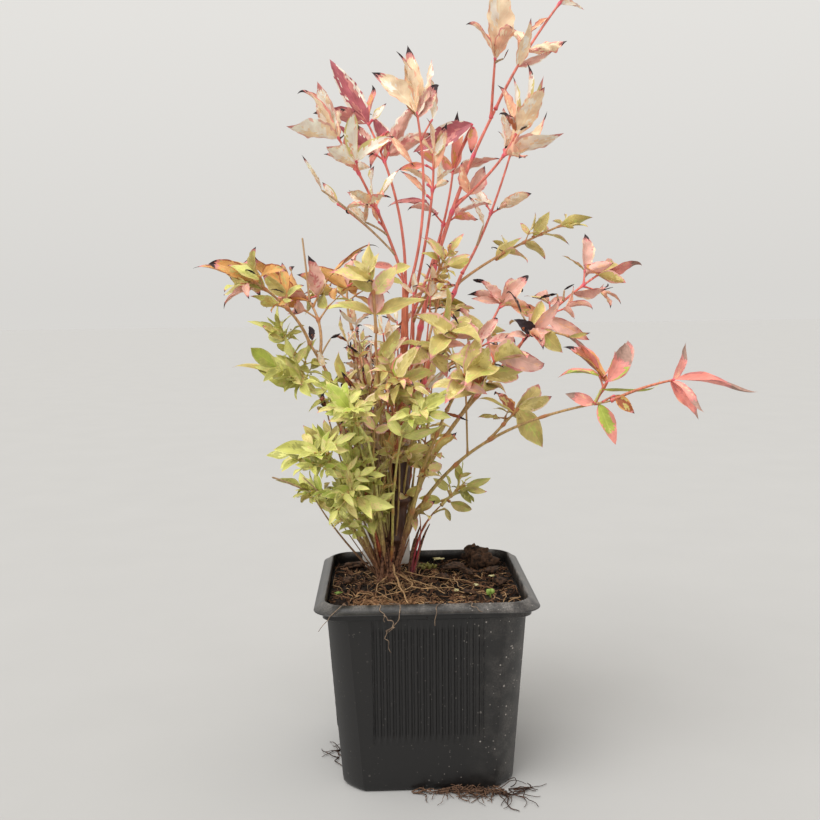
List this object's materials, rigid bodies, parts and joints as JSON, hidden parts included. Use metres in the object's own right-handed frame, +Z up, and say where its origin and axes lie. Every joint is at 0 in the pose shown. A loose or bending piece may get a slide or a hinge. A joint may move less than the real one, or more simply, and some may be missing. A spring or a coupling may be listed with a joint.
{
  "type": "heavenly bamboo in a nursery pot",
  "caption": "Young heavenly bamboo shrub with slender red and green stems and cream, rose, olive and lime compound leaves, in a square black nursery pot of compost.",
  "frame": {"origin": "middle of the pot's underside", "axes": "+Z up, +Y to the back, +X to the right, square to the pot's sides"},
  "size_m": [0.2272, 0.1316, 0.35],
  "materials": {
    "black_plastic": "matt, dusty",
    "compost": "rough, damp peat and bark fines",
    "white_plastic": "satin, blank",
    "root": "rough",
    "red_cane": "satin bark",
    "green_stem": "satin",
    "crimson_shoot": "satin",
    "cream_leaf": "soft sheen",
    "rose_leaf": "soft sheen",
    "salmon_leaf": "soft sheen",
    "coral_leaf": "soft sheen",
    "lime_leaf": "soft sheen",
    "olive_leaf": "soft sheen"
  },
  "bodies": {
    "root": {"cane_main": "red_cane", "cane_right": "red_cane", "cane_back": "red_cane", "stem_mid": "red_cane", "stem_left": "green_stem", "stem_front": "green_stem", "stem_low_left": "green_stem", "stem_right": "green_stem", "stem_low_right": "green_stem", "stem_far": "green_stem", "shoot_right": "crimson_shoot", "shoot_left": "green_stem", "shoot_low_left": "green_stem", "shoot_mid": "green_stem", "shoot_front": "green_stem", "stem_back_left": "green_stem", "stem_back_right": "green_stem", "spray_top_left": "cream_leaf", "spray_top_red": "rose_leaf", "spray_top_centre": "cream_leaf", "spray_top": "cream_leaf", "spray_top_inner": "cream_leaf", "spray_upper_right": "cream_leaf", "spray_back_rise": "cream_leaf", "spray_back_side": "olive_leaf", "spray_centre_rise": "cream_leaf", "spray_centre_rose": "rose_leaf", "spray_centre_small": "olive_leaf", "spray_far_left": "olive_leaf", "spray_left_arch": "rose_leaf", "spray_front_trio": "olive_leaf", "spray_low_left": "lime_leaf", "spray_lime_left": "lime_leaf", "spray_inner_left": "lime_leaf", "spray_back_arch": "rose_leaf", "spray_right_pink": "salmon_leaf", "spray_right_dark": "salmon_leaf", "spray_right_rise": "salmon_leaf", "spray_big_front": "olive_leaf", "spray_far_tip": "coral_leaf", "spray_far_cluster": "coral_leaf", "spray_far_inner": "olive_leaf", "spray_right_inner": "salmon_leaf", "spray_mid_pink": "salmon_leaf", "spray_centre_low": "olive_leaf", "spray_front_green": "lime_leaf", "spray_low_right": "lime_leaf", "spray_foot_left": "lime_leaf", "spray_lime_front": "lime_leaf", "spray_lime_mid": "lime_leaf", "spray_lime_low": "lime_leaf", "spray_inner_dry": "cream_leaf", "spray_back_olive": "olive_leaf", "spray_back_right": "olive_leaf", "spray_back_low": "lime_leaf", "pot": "black_plastic", "soil": "compost", "plant_label": "white_plastic", "roots_right": "root", "roots_left": "root"}
  },
  "joints": []
}
